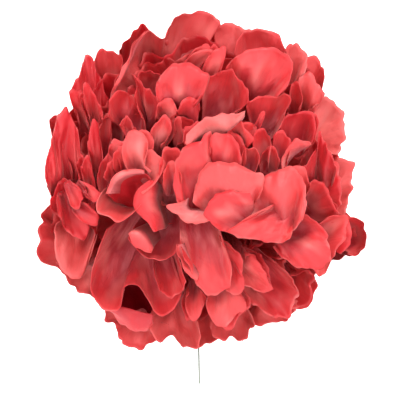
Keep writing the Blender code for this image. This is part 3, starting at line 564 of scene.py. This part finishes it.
# --- the middle rows
petal(6, [(110, 110), (111, 98), (117, 93), (125, 93), (130, 96), (134, 103), (139, 109), (143, 117), (147, 125), (150, 136)],
      base=(132, 146), y=-58, yb=-46, bulge=-3, tone=-0.2, seed=38, bw=8, crease=1.6, ruf=1.3)
petal(7, [(122, 124), (126, 118), (131, 120), (135, 126), (137, 134)],
      base=(133, 142), y=-62, yb=-56, bulge=0.5, tone=0.2, seed=39, bw=3)
petal(5, [(137, 82), (140, 73), (147, 71), (154, 73), (160, 74), (162, 82)],
      base=(151, 100), y=-54, yb=-44, bulge=-1, tone=0.0, seed=40, bw=6)
petal(6, [(135, 96), (132, 84), (134, 76), (138, 75), (142, 80), (144, 88), (151, 90), (157, 95), (159, 104), (156, 113), (153, 123)],
      base=(149, 130), y=-59, yb=-50, bulge=-1.5, tone=-0.2, seed=41, bw=4, crease=1.6)
petal(7, [(157, 100), (156, 89), (158, 80), (163, 72), (171, 66), (180, 63), (190, 63), (200, 67), (208, 73), (209, 81), (206, 89),
          (200, 96), (193, 103)],
      base=(180, 114), y=-65, yb=-56, bulge=5, tone=-0.1, echo=False, seed=42, bw=14, ruf=0.6, crease=1.5, red=0.35)
petal(6, [(183, 66), (189, 58), (198, 51), (206, 47), (211, 46), (213, 50), (208, 58), (203, 64), (198, 70)],
      base=(192, 78), y=-58, yb=-50, bulge=1, tone=0.3, seed=43, bw=7, ruf=0.5)
petal(6, [(203, 68), (208, 58), (213, 51), (218, 49), (223, 47), (225, 55), (223, 64), (221, 73), (217, 80)],
      base=(209, 88), y=-58, yb=-50, bulge=1.5, tone=0.2, seed=44, bw=7, ruf=0.5)
petal(7, [(156, 118), (157, 106), (163, 100), (170, 99), (176, 103), (176, 111), (170, 118)],
      base=(166, 128), y=-64, yb=-56, bulge=1, tone=0.05, seed=45, bw=5)
petal(8, [(148, 142), (151, 130), (157, 121), (165, 117), (171, 120), (172, 129), (168, 138), (160, 146)],
      base=(158, 154), y=-68, yb=-60, bulge=1.5, tone=0.1, seed=46, bw=6)
petal(8, [(173, 130), (174, 121), (179, 117), (184, 122), (186, 131), (184, 141), (178, 144)],
      base=(180, 150), y=-68, yb=-60, bulge=1, tone=0.4, seed=47, bw=4)
petal(6, [(226, 68), (232, 60), (240, 53), (250, 49), (262, 47), (274, 48), (284, 52), (291, 59), (293, 68), (291, 78), (287, 87),
          (280, 93), (273, 97)],
      base=(247, 104), y=-58, yb=-50, bulge=4, tone=0.1, echo=False, seed=48, bw=16, ruf=0.4, wave=0.6, curl=1.2, curl_at=0.9, crease=1.5, red=0.4)
petal(7, [(203, 88), (207, 79), (216, 74), (226, 71), (234, 71), (241, 78), (246, 86), (249, 94), (247, 103), (240, 109), (232, 113)],
      base=(214, 132), y=-63, yb=-52, bulge=-2, tone=-0.2, seed=49, bw=14, red=0.1)
petal(5, [(288, 110), (290, 98), (292, 88), (296, 84), (300, 88), (302, 97), (299, 106)],
      base=(291, 120), y=-53, yb=-42, bulge=1, tone=0.15, seed=50, bw=4)
petal(7, [(246, 108), (249, 101), (257, 97), (265, 96), (273, 98), (280, 96), (287, 94), (291, 97), (290, 104), (285, 113),
          (282, 123), (278, 132)],
      base=(260, 140), y=-62, yb=-52, bulge=-1.5, tone=0.0, seed=51, bw=9)
petal(8, [(252, 130), (256, 122), (260, 114), (263, 109), (265, 114), (262, 124), (259, 132)],
      base=(252, 138), y=-67, yb=-62, bulge=0.5, tone=-0.1, seed=52, bw=4, echo=False, red=0.4)
petal(6, [(281, 126), (285, 117), (294, 113), (303, 111), (311, 112), (314, 118), (315, 128), (314, 138), (309, 147)],
      base=(292, 152), y=-58, yb=-48, bulge=1, tone=-0.2, seed=53, bw=9, ruf=0.5, red=0.8)
petal(7, [(273, 136), (279, 131), (286, 133), (291, 141), (291, 151), (288, 160), (283, 170)],
      base=(274, 172), y=-64, yb=-61, bulge=-1, tone=-0.3, seed=54, bw=6, red=0.2)
petal(8, [(281, 172), (281, 161), (285, 151), (290, 144), (296, 139), (303, 141), (310, 142)],
      base=[(287, 172), (288, 164), (293, 157), (299, 152), (304, 149), (310, 144)], y=-66, yb=-62, tone=0.2, seed=55,
      bulge=1, wave=0.4, ruf=0.4)
petal(5, [(302, 166), (309, 160), (314, 152), (318, 143), (319, 132), (323, 140), (329, 149), (334, 158), (336, 169), (334, 182)],
      base=(318, 196), y=-53, yb=-40, bulge=2, tone=0.0, red=0.7, seed=56, bw=9)
petal(6, [(320, 224), (331, 216), (340, 215), (346, 217), (348, 223), (345, 236), (340, 248), (335, 256), (330, 260)],
      base=(314, 238), y=-57, yb=-48, bulge=2, tone=0.2, seed=57, bw=9)
petal(8, [(305, 216), (313, 219), (321, 226), (327, 235), (329, 247), (331, 258), (327, 265), (317, 269), (304, 269), (292, 264),
          (281, 256), (273, 247)],
      base=(284, 230), y=-68, yb=-60, bulge=3, tone=-0.25, echo=False, seed=58, bw=12, crease=1.2)
petal(6, [(309, 262), (314, 270), (318, 275), (323, 272), (329, 267), (332, 260)],
      base=(318, 254), y=-58, yb=-53, bulge=0.8, tone=0.4, seed=59, bw=8)
petal(6, [(272, 260), (282, 267), (290, 276), (296, 287), (297, 299), (293, 310), (287, 317), (278, 318), (268, 314), (257, 307),
          (248, 300), (243, 292)],
      base=(244, 250), y=-56, yb=-44, bulge=1, tone=-0.3, echo=False, seed=60, bw=11)
petal(8, [(241, 264), (247, 255), (256, 256), (263, 264), (267, 276), (269, 286), (266, 293), (259, 292), (251, 287), (244, 284)],
      base=(236, 248), y=-66, yb=-58, bulge=2, tone=0.25, seed=61, bw=8)
petal(8, [(221, 242), (230, 244), (238, 252), (243, 264), (245, 278), (243, 290), (236, 295), (227, 292)],
      base=(212, 228), y=-69, yb=-61, bulge=2, tone=-0.1, echo=False, seed=62, bw=7)
petal(9, [(180, 244), (184, 258), (191, 271), (197, 284), (203, 292), (211, 295), (219, 294), (227, 290), (231, 280), (232, 268),
          (228, 255), (222, 243)],
      base=(198, 214), y=-71, yb=-63, bulge=1.5, tone=-0.3, echo=False, seed=63, bw=19, crease=0.45)
petal(9, [(176, 244), (180, 256), (184, 268), (190, 276), (197, 281)],
      base=[(184, 244), (188, 254), (193, 264), (199, 274)], y=-72, yb=-70, tone=0.4, seed=64, bulge=0.8, wave=0.4, ruf=0.4)
petal(7, [(208, 295), (206, 306), (210, 317), (217, 327), (224, 329), (230, 322), (236, 314), (244, 311), (246, 304), (243, 297),
          (238, 291)],
      base=(222, 278), y=-65, yb=-59, bulge=2, tone=0.45, seed=65, bw=12, ruf=0.4, red=0.2)
petal(6, [(189, 292), (185, 300), (186, 309), (190, 318), (194, 322), (200, 316), (205, 306), (206, 297), (200, 289)],
      base=(196, 278), y=-59, yb=-50, bulge=2, tone=0.3, seed=66, bw=7, ruf=0.5)
petal(7, [(154, 276), (157, 286), (163, 294), (170, 297), (178, 296), (184, 290), (185, 279), (181, 265), (177, 250)],
      base=(160, 243), y=-63, yb=-52, bulge=-2, tone=-0.25, seed=67, bw=10)
petal(7, [(109, 311), (115, 318), (123, 323), (132, 327), (141, 330), (149, 331), (154, 322)],
      base=[(108, 306), (117, 306), (128, 308), (138, 311), (147, 313), (153, 314)], y=-50, yb=-57, bulge=2.0, tone=-0.4, red=0.9,
      seed=68, wave=1.2, ruf=0.7, tails=False)
# a dark sheet behind the hole at the lower left, with a very low tone: painted shade filling the hollow
petal(5, [(112, 296), (112, 308), (118, 317), (128, 321), (140, 321), (151, 317), (158, 307), (160, 294)],
      base=(137, 258), y=-45, yb=-40, bulge=-1, tone=-4.4, red=0.0, seed=168, bw=14, ruf=0.3, tails=False, echo=False)
petal(7, [(107, 228), (99, 248), (93, 266), (91, 284), (95, 299), (104, 310), (114, 312), (121, 306), (122, 295), (124, 287),
          (131, 284), (139, 286), (145, 294), (150, 304), (155, 313), (163, 316), (171, 312), (177, 304), (181, 296), (182, 286)],
      base=(148, 214), y=-61, yb=-50, prof=1.2, bulge=-7, tone=-0.9, echo=False, seed=69, bw=16, ruf=0.4, wave=0.7, crease=0.6)
petal(8, [(128, 236), (135, 246), (145, 256), (156, 261), (165, 260), (173, 255), (180, 247), (187, 236)],
      base=(163, 206), y=-68, yb=-56, bulge=-4, tone=-0.8, seed=70, bw=16, ruf=0.5)
petal(8, [(128, 234), (131, 241), (137, 247), (144, 251), (152, 252)],
      base=[(136, 228), (141, 229), (146, 233), (150, 240), (153, 248)], y=-71, yb=-67, tone=0.2, red=0.3, seed=71, bulge=0.8,
      wave=0.3, ruf=0.4)

petal(7, [(107, 154), (111, 143), (119, 136), (129, 138), (137, 145), (143, 154)],
      base=(128, 176), y=-65, yb=-56, bulge=1.5, tone=-0.2, seed=50 + 61, bw=7, ruf=1.2)
petal(8, [(112, 166), (115, 154), (122, 148), (130, 149), (136, 157)],
      base=(128, 178), y=-69, yb=-62, bulge=1.2, tone=0.0, seed=50 + 62, bw=5)
petal(8, [(104, 178), (106, 168), (111, 160), (117, 158), (121, 165)],
      base=(116, 186), y=-67, yb=-60, bulge=1.2, tone=-0.1, seed=50 + 63, bw=4)
petal(9, [(158, 172), (160, 160), (166, 151), (175, 148), (181, 152), (184, 161)],
      base=(171, 188), y=-73, yb=-64, bulge=1.5, tone=0.0, seed=50 + 64, bw=6)
petal(10, [(163, 186), (164, 174), (168, 166), (174, 163), (179, 168), (180, 178)],
      base=(171, 196), y=-75, yb=-68, bulge=1.2, tone=0.1, seed=50 + 65, bw=5)
petal(8, [(184, 148), (184, 136), (188, 127), (195, 122), (201, 125), (203, 134)],
      base=(193, 156), y=-70, yb=-62, bulge=1.0, tone=-0.2, seed=50 + 66, bw=5)
petal(7, [(176, 116), (178, 104), (184, 97), (192, 97), (199, 103), (200, 113)],
      base=(188, 132), y=-65, yb=-56, bulge=1.2, tone=-0.3, seed=50 + 67, bw=6)
petal(8, [(150, 206), (148, 194), (151, 182), (159, 174), (170, 172), (180, 178), (187, 190), (189, 204), (186, 218)],
      base=(168, 214), y=-62, yb=-55, bulge=-1.0, tone=-0.1, seed=50 + 68, bw=11, crease=0.4)
petal(7, [(262, 178), (260, 166), (262, 154), (268, 147), (275, 149), (279, 158), (279, 168)],
      base=(270, 186), y=-69, yb=-64, bulge=-1.2, tone=-0.35, red=0.0, seed=50 + 69, bw=6)

# --- tight petals in the heart of the bud
for i, (u, v, r) in enumerate(((216, 176, 17), (236, 190, 18), (256, 200, 18), (222, 206, 16), (244, 216, 17), (232, 176, 15))):
    a0 = 1.1 * i
    petal(12, [(u + r * math.cos(a0 + q), v + r * math.sin(a0 + q)) for q in (-1.5, -1.0, -0.5, 0.0, 0.5, 1.0, 1.5)],
          base=(u - 0.5 * r * math.cos(a0), v - 0.5 * r * math.sin(a0)), y=-71 + 1.2 * i, yb=-52, bulge=-2.5, tone=-0.4,
          seed=60 + 50 + i, bw=4, prof=0.8, echo=False)

# --- the cup on the left of the middle
# the cup's inner wall: its very low tone paints crimson shade into the hollow
petal(9, [(108, 196), (109, 187), (115, 179), (124, 174), (135, 172), (146, 173), (151, 179)],
      base=[(122, 204), (126, 206), (130, 207), (135, 207), (140, 205), (143, 201), (145, 196)], y=-73, yb=-58, bulge=0.5,
      prof=1.5, tone=-2.7, red=2.2, seed=72, ruf=0.3, wave=0.3)
petal(9, [(106, 194), (111, 180), (119, 172), (131, 169), (144, 170)],
      base=[(110, 194), (115, 184), (124, 177), (134, 174), (145, 173.5)], y=-74, yb=-73.5, tone=0.5, seed=73, bulge=0.5,
      wave=0.2, ruf=0.2, crease=0.3)
petal(9, [(102, 191), (98, 199), (98, 207), (103, 214), (112, 219), (120, 221), (128, 218), (135, 212), (140, 206)],
      base=[(112, 188), (115, 195), (120, 200), (125, 203), (130, 206), (135, 208), (140, 208)], y=-74, yb=-55, prof=2.4,
      tone=0.3, seed=74, bulge=1.5, wave=0.4, ruf=0.4, crease=1.2)
petal(9, [(149, 180), (141, 187), (137, 195), (135, 203), (137, 211), (143, 217), (149, 223), (155, 232)],
      base=[(160, 184), (160, 190), (160, 197), (160, 204), (161, 211), (163, 219), (166, 228)], y=-73, yb=-60, tone=-0.2, red=0.6,
      seed=75, bulge=2.5, prof=0.6, wave=0.3, ruf=0.3)
petal(10, [(128, 171), (124, 162), (122, 150), (125, 138), (131, 131), (139, 131), (146, 137), (148, 147), (145, 157), (144, 164),
           (151, 170)],
      base=(139, 176), y=-75, yb=-68, bulge=2, tone=0.5, seed=76, bw=8, ruf=0.3, wave=0.5, crease=1.2)
petal(9, [(146, 160), (149, 151), (155, 150), (160, 156), (163, 164), (161, 174), (156, 182), (150, 188), (145, 194)],
      base=(142, 182), y=-73, yb=-66, bulge=2, tone=0.3, seed=77, bw=8, ruf=0.4)

# --- the bud
petal(8, [(252, 139), (254, 132), (260, 131), (267, 133), (271, 140), (270, 152), (268, 164)],
      base=(261, 174), y=-71, yb=-66, bulge=-2, tone=-0.2, seed=78, bw=6, red=0.5)
petal(9, [(240, 162), (243, 153), (249, 147), (255, 149), (259, 157), (258, 167), (253, 173)],
      base=(248, 177), y=-73, yb=-69, bulge=-1.5, tone=-0.3, seed=79, bw=5, red=0.0)
petal(9, [(226, 136), (231, 128), (238, 123), (246, 124), (252, 130), (255, 138), (249, 143), (240, 147)],
      base=(240, 152), y=-72, yb=-64, bulge=1, tone=0.0, seed=80, bw=6)
petal(10, [(184, 142), (190, 132), (200, 122), (212, 115), (224, 113), (236, 114), (246, 112)],
      base=[(190, 144), (198, 139), (207, 134), (218, 133), (227, 131), (235, 125), (245, 116)], y=-77, yb=-73, tone=1.0, red=0.0,
      seed=81, bulge=1.5, wave=0.8, ruf=0.7)
petal(9, [(285, 174), (289, 166), (294, 168), (300, 168), (305, 172), (309, 180), (310, 187), (306, 195)],
      base=(294, 206), y=-71, yb=-64, bulge=1, tone=0.2, seed=82, bw=7)
petal(10, [(207, 164), (208, 152), (210, 141), (213, 132), (221, 132), (229, 136), (237, 142), (240, 151), (241, 161), (239, 169)],
      base=(222, 184), y=-76, yb=-68, bulge=3, tone=-0.1, red=0.5, seed=83, bw=11, ruf=0.7, crease=1.4)
petal(10, [(179, 208), (175, 192), (174, 176), (176, 161), (181, 150), (190, 144), (201, 139), (211, 131), (212, 140), (209, 152)],
      base=(196, 218), y=-77, yb=-68, bulge=3, tone=0.0, red=0.5, echo=False, seed=84, bw=12, ruf=0.8, crease=1.4)
petal(10, [(245, 202), (251, 189), (262, 179), (274, 172), (285, 168), (294, 168), (301, 175), (305, 185), (306, 196), (306, 207),
           (303, 219)],
      base=(272, 230), y=-76, yb=-69, bulge=4, tone=0.3, red=0.25, echo=False, seed=85, bw=18, ruf=0.7, crease=1.5)
petal(11, [(193, 202), (195, 187), (200, 173), (206, 164), (215, 161), (225, 162), (235, 164), (246, 169), (256, 172), (264, 176),
           (263, 187), (258, 198)],
      base=(228, 218), y=-79, yb=-73, bulge=4, tone=0.4, red=0.15, echo=False, seed=86, bw=18, ruf=0.6, crease=1.0)
petal(11, [(290, 238), (283, 242), (271, 243), (257, 241), (243, 238), (232, 235), (227, 231), (236, 225), (246, 218), (256, 213),
           (267, 210)],
      base=(298, 202), y=-80, yb=-70, bulge=3, tone=0.05, red=0.3, echo=False, seed=87, bw=10, ruf=0.6, crease=1.4)
petal(11, [(222, 232), (213, 225), (206, 217), (204, 209), (210, 199), (221, 191), (230, 190), (240, 192), (250, 192)],
      base=(246, 222), y=-82, yb=-76, bulge=2.5, tone=-0.15, red=0.6, echo=False, seed=88, bw=14, ruf=0.7, crease=1.1)
petal(11, [(185, 201), (176, 203), (168, 205), (168, 210), (177, 215), (184, 221), (190, 225), (200, 223), (212, 220), (216, 216)],
      base=[(188, 198), (187, 203), (187, 207), (190, 210), (198, 211), (206, 212), (213, 214)], y=-79, yb=-78, tone=0.7, red=0.0, seed=89,
      bulge=0.8, wave=0.8, ruf=1.0)


# ------------------------------------------------------------------ layers to meshes
def build_layer(layer, mat, name):
    vs, fs, att = [], [], {"edge": [], "tone": [], "along": [], "across": [], "seed": [], "red": []}
    base = 0
    for sh in sheets[layer]:
        P = sh["P"]; nt, ns = P.shape[:2]
        vs.append(P.reshape(-1, 3))
        idx = base + np.arange(nt * ns).reshape(nt, ns)
        q = np.stack([idx[:-1, :-1], idx[:-1, 1:], idx[1:, 1:], idx[1:, :-1]], -1).reshape(-1, 4)
        fs.append(q)
        att["edge"].append(np.clip(sh["T"], -0.3, 1).ravel())
        att["tone"].append(np.full(nt * ns, sh["tone"]))
        att["along"].append((sh["T"] * sh["rib"]).ravel())
        att["across"].append(((sh["S"] - 0.5) * sh["rim"]).ravel())
        att["seed"].append(np.full(nt * ns, sh["seed"]))
        att["red"].append(np.full(nt * ns, sh["red"]))
        base += nt * ns
    V = np.vstack(vs); F = np.vstack(fs)
    me = bpy.data.meshes.new(name)
    me.vertices.add(len(V)); me.vertices.foreach_set("co", V.ravel())
    me.loops.add(F.size); me.loops.foreach_set("vertex_index", F.ravel().astype(np.int32))
    me.polygons.add(len(F))
    me.polygons.foreach_set("loop_start", np.arange(0, F.size, 4, dtype=np.int32))
    me.polygons.foreach_set("loop_total", np.full(len(F), 4, dtype=np.int32))
    me.update(calc_edges=True)
    for k, v in att.items():
        at_ = me.attributes.new(k, "FLOAT", "POINT")
        at_.data.foreach_set("value", np.concatenate(v).astype(np.float32))
    me.validate()
    me.shade_smooth()
    me.materials.append(mat)
    ob = bpy.data.objects.new(name, me)
    bpy.context.scene.collection.objects.link(ob)
    md = ob.modifiers.new("thickness", "SOLIDIFY")
    md.thickness = 0.15 * MM
    md.offset = 0.0
    md.use_even_offset = False
    return ob


for layer in range(1, 13):
    kind = "outer" if layer <= 3 else ("middle" if layer <= 8 else "inner")
    ob = build_layer(layer, FABRIC[kind], "petals_%02d" % layer if layer < 12 else "bud_heart")
    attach(ob, "flower")
    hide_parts("petal_layer_%02d" % layer if layer < 12 else "bud_core")

# ------------------------------------------------------------------ the hard pieces
def noise(nt, scale, detail=3.0, rough=0.5, stretch=None):
    tc = node(nt, "ShaderNodeTexCoord")
    v = tc.outputs["Object"]
    if stretch is not None:
        mp = node(nt, "ShaderNodeMapping")
        mp.inputs["Scale"].default_value = stretch
        link(nt, v, mp.inputs["Vector"]); v = mp.outputs[0]
    n = node(nt, "ShaderNodeTexNoise", ins={"Scale": scale, "Detail": detail, "Roughness": rough})
    link(nt, v, n.inputs["Vector"])
    return n.outputs["Fac"]


def surface(name, c_lo, c_hi, r_lo, r_hi, metal=0.0, scale=300.0, bump=0.2, depth=0.00005, spec=0.5,
            stretch=None, edge=None, coat=0.0, detail=3.0):
    """A hard material with mottled colour and roughness, a fine bump, and convex edges
    mixed a little lighter."""
    m, nt, b, out = new_mat(name)
    f = noise(nt, scale, detail, 0.55, stretch)
    big = noise(nt, scale * 0.12, 2.0, 0.5)
    col = mix_rgb(nt, ramp(nt, f, [(0.3, 0.0), (0.7, 1.0)]), c_lo, c_hi)
    col = mix_rgb(nt, 0.5, col, ramp(nt, big, [(0.3, 0.82), (0.7, 1.08)]), "MULTIPLY")
    if edge is not None:
        g = node(nt, "ShaderNodeNewGeometry")
        e = ramp(nt, g.outputs["Pointiness"], [(0.53, 0.0), (0.60, 1.0)])
        col = mix_rgb(nt, math_node(nt, "MULTIPLY", e, 0.6), col, edge)
    link(nt, col, b.inputs["Base Color"])
    link(nt, ramp(nt, big, [(0.25, r_lo), (0.75, r_hi)]), b.inputs["Roughness"])
    b.inputs["Metallic"].default_value = metal
    b.inputs["Specular IOR Level"].default_value = spec
    b.inputs["Coat Weight"].default_value = coat
    b.inputs["Coat Roughness"].default_value = 0.12
    bp = node(nt, "ShaderNodeBump", ins={"Strength": bump, "Distance": depth})
    link(nt, f, bp.inputs["Height"]); link(nt, bp.outputs[0], b.inputs["Normal"])
    return m


def dress(names, mat):
    for n in names:
        o = NODES[n]
        if len(o.data.materials) == 0:
            o.data.materials.append(mat)
        for i in range(len(o.data.materials)):
            o.data.materials[i] = mat


dress(["core_peg", "calyx"], surface("moulded_green_plastic", lin(62, 92, 52), lin(86, 118, 66), 0.38, 0.55,
                                     scale=420.0, bump=0.25, depth=0.00006, edge=lin(128, 152, 98)))
dress(["peg_cap", "layer_collar_1", "layer_collar_2", "layer_collar_3"],
      surface("milky_plastic", lin(206, 208, 200), lin(226, 227, 220), 0.25, 0.42, scale=380.0, bump=0.12,
              depth=0.00005, edge=lin(242, 243, 240)))
dress(["stem_wire"], surface("green_wire_paint", lin(60, 76, 68), lin(82, 98, 88), 0.40, 0.58, scale=900.0,
                             bump=0.3, depth=0.00003, edge=lin(150, 160, 145)))
dress(["glue_pad"], surface("hot_melt_glue", lin(222, 210, 178), lin(236, 228, 204), 0.16, 0.34, scale=160.0,
                            bump=0.35, depth=0.0002, coat=0.3))
dress(["clip_arm", "clip_jaw"], surface("plated_clip_steel", lin(98, 98, 98), lin(132, 132, 131), 0.30, 0.46, metal=1.0,
                                        scale=700.0, bump=0.18, depth=0.00003, stretch=(0.08, 1.0, 1.0),
                                        edge=lin(176, 176, 174)))
dress(["hinge_pin"], surface("turned_pin_steel", lin(118, 118, 117), lin(152, 152, 150), 0.24, 0.40, metal=1.0,
                             scale=900.0, bump=0.15, depth=0.00002, stretch=(1.0, 1.0, 0.2)))
dress(["torsion_spring"], surface("drawn_spring_steel", lin(84, 84, 85), lin(122, 122, 122), 0.26, 0.42, metal=1.0,
                                  scale=1200.0, bump=0.15, depth=0.00002))

# ------------------------------------------------------------------ the felt disc
def felt_pad():
    """A die-cut disc of needled felt: rounded soft edges, an uneven fuzzy surface."""
    lo, hi = [np.array(v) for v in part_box("felt_disc")]
    cx, cz = (lo[0] + hi[0]) / 2, (lo[2] + hi[2]) / 2
    y0, y1 = lo[1], hi[1]
    rad = min(hi[0] - lo[0], hi[2] - lo[2]) / 2
    yc, hy = (y0 + y1) / 2, (y1 - y0) / 2
    prof = []
    for r in np.linspace(0.02, 0.90, 15):
        prof.append((r * rad, -hy))
    for a in np.linspace(-90, 90, 11)[1:-1]:
        prof.append((rad * (0.90 + 0.10 * math.cos(math.radians(a))), hy * math.sin(math.radians(a))))
    for r in np.linspace(0.90, 0.02, 15):
        prof.append((r * rad, hy))
    seg = 150
    rng = np.random.default_rng(7)
    bm = bmesh.new()
    rows = []
    for i, (r, y) in enumerate(prof):
        row = []
        for k in range(seg):
            a = math.tau * k / seg
            j = rng.normal(0, 1, 3)
            wob = 0.16 * math.sin(3 * a + 0.7) + 0.10 * math.sin(7 * a + 2.0)
            rr = r + (wob * (r / rad) ** 3 + 0.07 * j[0] * min(1.0, r / rad * 1.5)) * MM
            row.append(bm.verts.new((cx + rr * math.cos(a), yc + y * 0.93 + 0.035 * j[1] * MM, cz + rr * math.sin(a))))
        rows.append(row)
    for p, q in zip(rows, rows[1:]):
        for k in range(seg):
            bm.faces.new((p[k], p[(k + 1) % seg], q[(k + 1) % seg], q[k]))
    for row, flip in ((rows[0], True), (rows[-1], False)):
        c = bm.verts.new(sum((v.co for v in row), Vector()) / seg)
        for k in range(seg):
            f = (row[(k + 1) % seg], row[k], c) if flip else (row[k], row[(k + 1) % seg], c)
            bm.faces.new(f)
    bmesh.ops.recalc_face_normals(bm, faces=bm.faces[:])
    me = bpy.data.meshes.new("felt_pad")
    bm.to_mesh(me); bm.free()
    me.shade_smooth()
    ob = bpy.data.objects.new("felt_pad", me)
    bpy.context.scene.collection.objects.link(ob)
    m, nt, b, out = new_mat("needled_felt")
    f1 = noise(nt, 1500.0, 6.0, 0.75)
    f2 = noise(nt, 260.0, 3.0, 0.6)
    col = mix_rgb(nt, ramp(nt, f1, [(0.3, 0.0), (0.7, 1.0)]), lin(118, 14, 24), lin(178, 40, 48))
    col = mix_rgb(nt, 0.6, col, ramp(nt, f2, [(0.3, 0.78), (0.7, 1.12)]), "MULTIPLY")
    link(nt, col, b.inputs["Base Color"])
    link(nt, ramp(nt, f2, [(0.3, 0.86), (0.7, 0.98)]), b.inputs["Roughness"])
    b.inputs["Specular IOR Level"].default_value = 0.15
    b.inputs["Sheen Weight"].default_value = 0.45
    b.inputs["Sheen Roughness"].default_value = 0.5
    b.inputs["Sheen Tint"].default_value = (1.0, 0.45, 0.45, 1.0)
    bp = node(nt, "ShaderNodeBump", ins={"Strength": 0.8, "Distance": 0.0003})
    link(nt, f1, bp.inputs["Height"]); link(nt, bp.outputs[0], b.inputs["Normal"])
    me.materials.append(m)
    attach(ob, "flower")
    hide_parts("felt_disc")


felt_pad()

# ------------------------------------------------------------------ stage and light
def dome(name, r0, r1, z0, z1, seg=96):
    bm = bmesh.new()
    prof = [(0.0001, z0), (r0 * 0.5, z0), (r0, z0)]
    for k in range(1, 13):
        a = math.pi / 2 * k / 12
        prof.append((r0 + (r1 - r0) * math.sin(a), z0 + (r1 - r0) * (1 - math.cos(a))))
    prof.append((r1, z1))
    vs = [bm.verts.new((r, 0, z)) for r, z in prof]
    es = [bm.edges.new((a, b)) for a, b in zip(vs, vs[1:])]
    bmesh.ops.spin(bm, geom=vs + es, cent=(0, 0, 0), axis=(0, 0, 1), dvec=(0, 0, 0),
                   angle=math.tau, steps=seg, use_merge=True)
    bmesh.ops.remove_doubles(bm, verts=bm.verts[:], dist=1e-5)
    me = bpy.data.meshes.new(name)
    bm.to_mesh(me); bm.free()
    me.shade_smooth()
    ob = bpy.data.objects.new(name, me)
    bpy.context.scene.collection.objects.link(ob)
    return ob


floor = dome("studio_floor", 1.7, 2.6, -0.42, 2.4)
# the floor and its walls glow, as a light tent round the flower: emission 0.34 at the bottom rising to 0.68 up the
# walls
m, nt, b, out = new_mat("glowing_studio_white")
b.inputs["Base Color"].default_value = (0.86, 0.86, 0.86, 1)
b.inputs["Roughness"].default_value = 0.9
b.inputs["Emission Color"].default_value = (1.0, 1.0, 1.0, 1)
tc = node(nt, "ShaderNodeTexCoord")
sx = node(nt, "ShaderNodeSeparateXYZ")
link(nt, tc.outputs["Object"], sx.inputs[0])
mr = node(nt, "ShaderNodeMapRange", ins={1: -0.42, 2: -0.24, 3: 0.34, 4: 0.68})
link(nt, sx.outputs[2], mr.inputs[0])
link(nt, mr.outputs[0], b.inputs["Emission Strength"])
floor.data.materials.append(m)


def area_light(name, loc, target, size, watts, col=(1, 1, 1)):
    l = bpy.data.lights.new(name, "AREA")
    l.shape = "DISK"
    l.size = size
    l.energy = watts
    l.color = col
    o = bpy.data.objects.new(name, l)
    bpy.context.scene.collection.objects.link(o)
    o.location = loc
    o.rotation_euler = (Vector(target) - Vector(loc)).to_track_quat("-Z", "Y").to_euler()
    return o


area_light("key", (0.45, -0.85, 1.50), (0, -0.04, 0), 0.42, 18.5, (1.0, 0.985, 0.97))
area_light("fill", (-0.8, -1.3, 0.45), (0, -0.04, 0), 0.9, 1.5)
area_light("back_fill", (0.3, 1.3, 0.9), (0, 0, 0), 0.8, 3.2)
w = bpy.data.worlds.new("studio")
w.use_nodes = True
w.node_tree.nodes["Background"].inputs[0].default_value = (1, 1, 1, 1)
w.node_tree.nodes["Background"].inputs[1].default_value = 0.7
bpy.context.scene.world = w
bpy.context.scene.view_settings.view_transform = "Standard"
bpy.context.scene.view_settings.look = "None"
bpy.context.scene.view_settings.exposure = 0.0
bpy.context.scene.view_settings.gamma = 1.0
